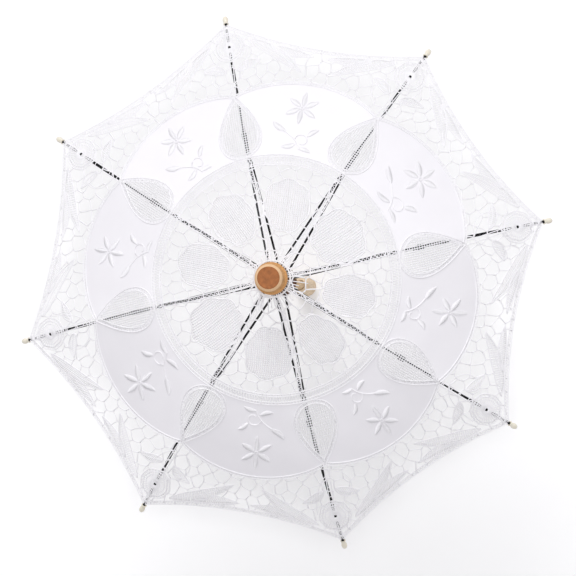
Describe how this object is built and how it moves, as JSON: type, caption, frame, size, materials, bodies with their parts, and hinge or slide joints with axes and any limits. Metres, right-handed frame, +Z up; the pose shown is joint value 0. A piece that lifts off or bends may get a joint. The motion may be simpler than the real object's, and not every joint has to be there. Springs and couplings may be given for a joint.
{
  "type": "lace parasol",
  "caption": "Small open lace parasol: scalloped net and batiste cover on curved steel ribs, a sliding runner with stretchers, wooden shaft, stepped ferrule and turned handle.",
  "frame": {"origin": "centre of the handle's flat lower end", "axes": "+Z up along the shaft to the ferrule, +X along the first rib"},
  "size_m": [0.481, 0.481, 0.4],
  "materials": {
    "turned_wood": "satin varnish",
    "pale_wood": "satin varnish",
    "dark_wood": "stained satin",
    "dark_steel": "black enamel",
    "bright_steel": "bright drawn wire",
    "cream_plastic": "gloss",
    "lace": "matte cotton"
  },
  "bodies": {
    "shaft": {"shaft": "pale_wood", "handle": "turned_wood", "ferrule": "turned_wood", "notch": "dark_wood", "notch_wire": "bright_steel", "notch_pin": "bright_steel", "stop_pin": "bright_steel", "catch_spring": "bright_steel"},
    "runner": {"runner": "dark_wood", "runner_wire": "bright_steel"},
    "rib_1": {"rib_1": "dark_steel", "rib_tip_1": "cream_plastic", "rib_joint_1": "dark_steel", "joint_rivet_1": "bright_steel", "canopy_1": "lace"},
    "stretcher_1": {"stretcher_1": "dark_steel"},
    "rib_2": {"rib_2": "dark_steel", "rib_tip_2": "cream_plastic", "rib_joint_2": "dark_steel", "joint_rivet_2": "bright_steel", "canopy_2": "lace"},
    "stretcher_2": {"stretcher_2": "dark_steel"},
    "rib_3": {"rib_3": "dark_steel", "rib_tip_3": "cream_plastic", "rib_joint_3": "dark_steel", "joint_rivet_3": "bright_steel", "canopy_3": "lace"},
    "stretcher_3": {"stretcher_3": "dark_steel"},
    "rib_4": {"rib_4": "dark_steel", "rib_tip_4": "cream_plastic", "rib_joint_4": "dark_steel", "joint_rivet_4": "bright_steel", "canopy_4": "lace"},
    "stretcher_4": {"stretcher_4": "dark_steel"},
    "rib_5": {"rib_5": "dark_steel", "rib_tip_5": "cream_plastic", "rib_joint_5": "dark_steel", "joint_rivet_5": "bright_steel", "canopy_5": "lace"},
    "stretcher_5": {"stretcher_5": "dark_steel"},
    "rib_6": {"rib_6": "dark_steel", "rib_tip_6": "cream_plastic", "rib_joint_6": "dark_steel", "joint_rivet_6": "bright_steel", "canopy_6": "lace"},
    "stretcher_6": {"stretcher_6": "dark_steel"},
    "rib_7": {"rib_7": "dark_steel", "rib_tip_7": "cream_plastic", "rib_joint_7": "dark_steel", "joint_rivet_7": "bright_steel", "canopy_7": "lace"},
    "stretcher_7": {"stretcher_7": "dark_steel"},
    "rib_8": {"rib_8": "dark_steel", "rib_tip_8": "cream_plastic", "rib_joint_8": "dark_steel", "joint_rivet_8": "bright_steel", "canopy_8": "lace"},
    "stretcher_8": {"stretcher_8": "dark_steel"}
  },
  "joints": [
    {"name": "runner_slide", "type": "slide", "parent": "shaft", "child": "runner", "axis": [0, 0, -1], "range_m": [0, 0.1479], "deforming": ["catch_spring"]},
    {"name": "rib_1_fold", "type": "hinge", "parent": "shaft", "child": "rib_1", "pos_m": [0.009, 0, 0.366], "axis": [0, 1, 0], "range_deg": [0, 58.75], "deforming": ["canopy_1"]},
    {"name": "stretcher_1_fold", "type": "hinge", "parent": "rib_1", "child": "stretcher_1", "pos_m": [0.12228, 0, 0.31849], "axis": [0, 1, 0], "range_deg": [-117.5, 0]},
    {"name": "rib_2_fold", "type": "hinge", "parent": "shaft", "child": "rib_2", "pos_m": [0.00636, 0.00636, 0.366], "axis": [-0.7071, 0.7071, 0], "range_deg": [0, 58.75], "deforming": ["canopy_2"]},
    {"name": "stretcher_2_fold", "type": "hinge", "parent": "rib_2", "child": "stretcher_2", "pos_m": [0.08646, 0.08646, 0.31849], "axis": [-0.7071, 0.7071, 0], "range_deg": [-117.5, 0]},
    {"name": "rib_3_fold", "type": "hinge", "parent": "shaft", "child": "rib_3", "pos_m": [0, 0.009, 0.366], "axis": [-1, 0, 0], "range_deg": [0, 58.75], "deforming": ["canopy_3"]},
    {"name": "stretcher_3_fold", "type": "hinge", "parent": "rib_3", "child": "stretcher_3", "pos_m": [0, 0.12228, 0.31849], "axis": [-1, 0, 0], "range_deg": [-117.5, 0]},
    {"name": "rib_4_fold", "type": "hinge", "parent": "shaft", "child": "rib_4", "pos_m": [-0.00636, 0.00636, 0.366], "axis": [-0.7071, -0.7071, 0], "range_deg": [0, 58.75], "deforming": ["canopy_4"]},
    {"name": "stretcher_4_fold", "type": "hinge", "parent": "rib_4", "child": "stretcher_4", "pos_m": [-0.08646, 0.08646, 0.31849], "axis": [-0.7071, -0.7071, 0], "range_deg": [-117.5, 0]},
    {"name": "rib_5_fold", "type": "hinge", "parent": "shaft", "child": "rib_5", "pos_m": [-0.009, 0, 0.366], "axis": [0, -1, 0], "range_deg": [0, 58.75], "deforming": ["canopy_5"]},
    {"name": "stretcher_5_fold", "type": "hinge", "parent": "rib_5", "child": "stretcher_5", "pos_m": [-0.12228, 0, 0.31849], "axis": [0, -1, 0], "range_deg": [-117.5, 0]},
    {"name": "rib_6_fold", "type": "hinge", "parent": "shaft", "child": "rib_6", "pos_m": [-0.00636, -0.00636, 0.366], "axis": [0.7071, -0.7071, 0], "range_deg": [0, 58.75], "deforming": ["canopy_6"]},
    {"name": "stretcher_6_fold", "type": "hinge", "parent": "rib_6", "child": "stretcher_6", "pos_m": [-0.08646, -0.08646, 0.31849], "axis": [0.7071, -0.7071, 0], "range_deg": [-117.5, 0]},
    {"name": "rib_7_fold", "type": "hinge", "parent": "shaft", "child": "rib_7", "pos_m": [0, -0.009, 0.366], "axis": [1, 0, 0], "range_deg": [0, 58.75], "deforming": ["canopy_7"]},
    {"name": "stretcher_7_fold", "type": "hinge", "parent": "rib_7", "child": "stretcher_7", "pos_m": [0, -0.12228, 0.31849], "axis": [1, 0, 0], "range_deg": [-117.5, 0]},
    {"name": "rib_8_fold", "type": "hinge", "parent": "shaft", "child": "rib_8", "pos_m": [0.00636, -0.00636, 0.366], "axis": [0.7071, 0.7071, 0], "range_deg": [0, 58.75], "deforming": ["canopy_8"]},
    {"name": "stretcher_8_fold", "type": "hinge", "parent": "rib_8", "child": "stretcher_8", "pos_m": [0.08646, -0.08646, 0.31849], "axis": [0.7071, 0.7071, 0], "range_deg": [-117.5, 0]}
  ],
  "couplings": [
    {"joint": "rib_1_fold", "follows": "runner_slide", "rad_per_m": 6.93},
    {"joint": "stretcher_1_fold", "follows": "runner_slide", "rad_per_m": -13.86},
    {"joint": "rib_2_fold", "follows": "runner_slide", "rad_per_m": 6.93},
    {"joint": "stretcher_2_fold", "follows": "runner_slide", "rad_per_m": -13.86},
    {"joint": "rib_3_fold", "follows": "runner_slide", "rad_per_m": 6.93},
    {"joint": "stretcher_3_fold", "follows": "runner_slide", "rad_per_m": -13.86},
    {"joint": "rib_4_fold", "follows": "runner_slide", "rad_per_m": 6.93},
    {"joint": "stretcher_4_fold", "follows": "runner_slide", "rad_per_m": -13.86},
    {"joint": "rib_5_fold", "follows": "runner_slide", "rad_per_m": 6.93},
    {"joint": "stretcher_5_fold", "follows": "runner_slide", "rad_per_m": -13.86},
    {"joint": "rib_6_fold", "follows": "runner_slide", "rad_per_m": 6.93},
    {"joint": "stretcher_6_fold", "follows": "runner_slide", "rad_per_m": -13.86},
    {"joint": "rib_7_fold", "follows": "runner_slide", "rad_per_m": 6.93},
    {"joint": "stretcher_7_fold", "follows": "runner_slide", "rad_per_m": -13.86},
    {"joint": "rib_8_fold", "follows": "runner_slide", "rad_per_m": 6.93},
    {"joint": "stretcher_8_fold", "follows": "runner_slide", "rad_per_m": -13.86}
  ]
}
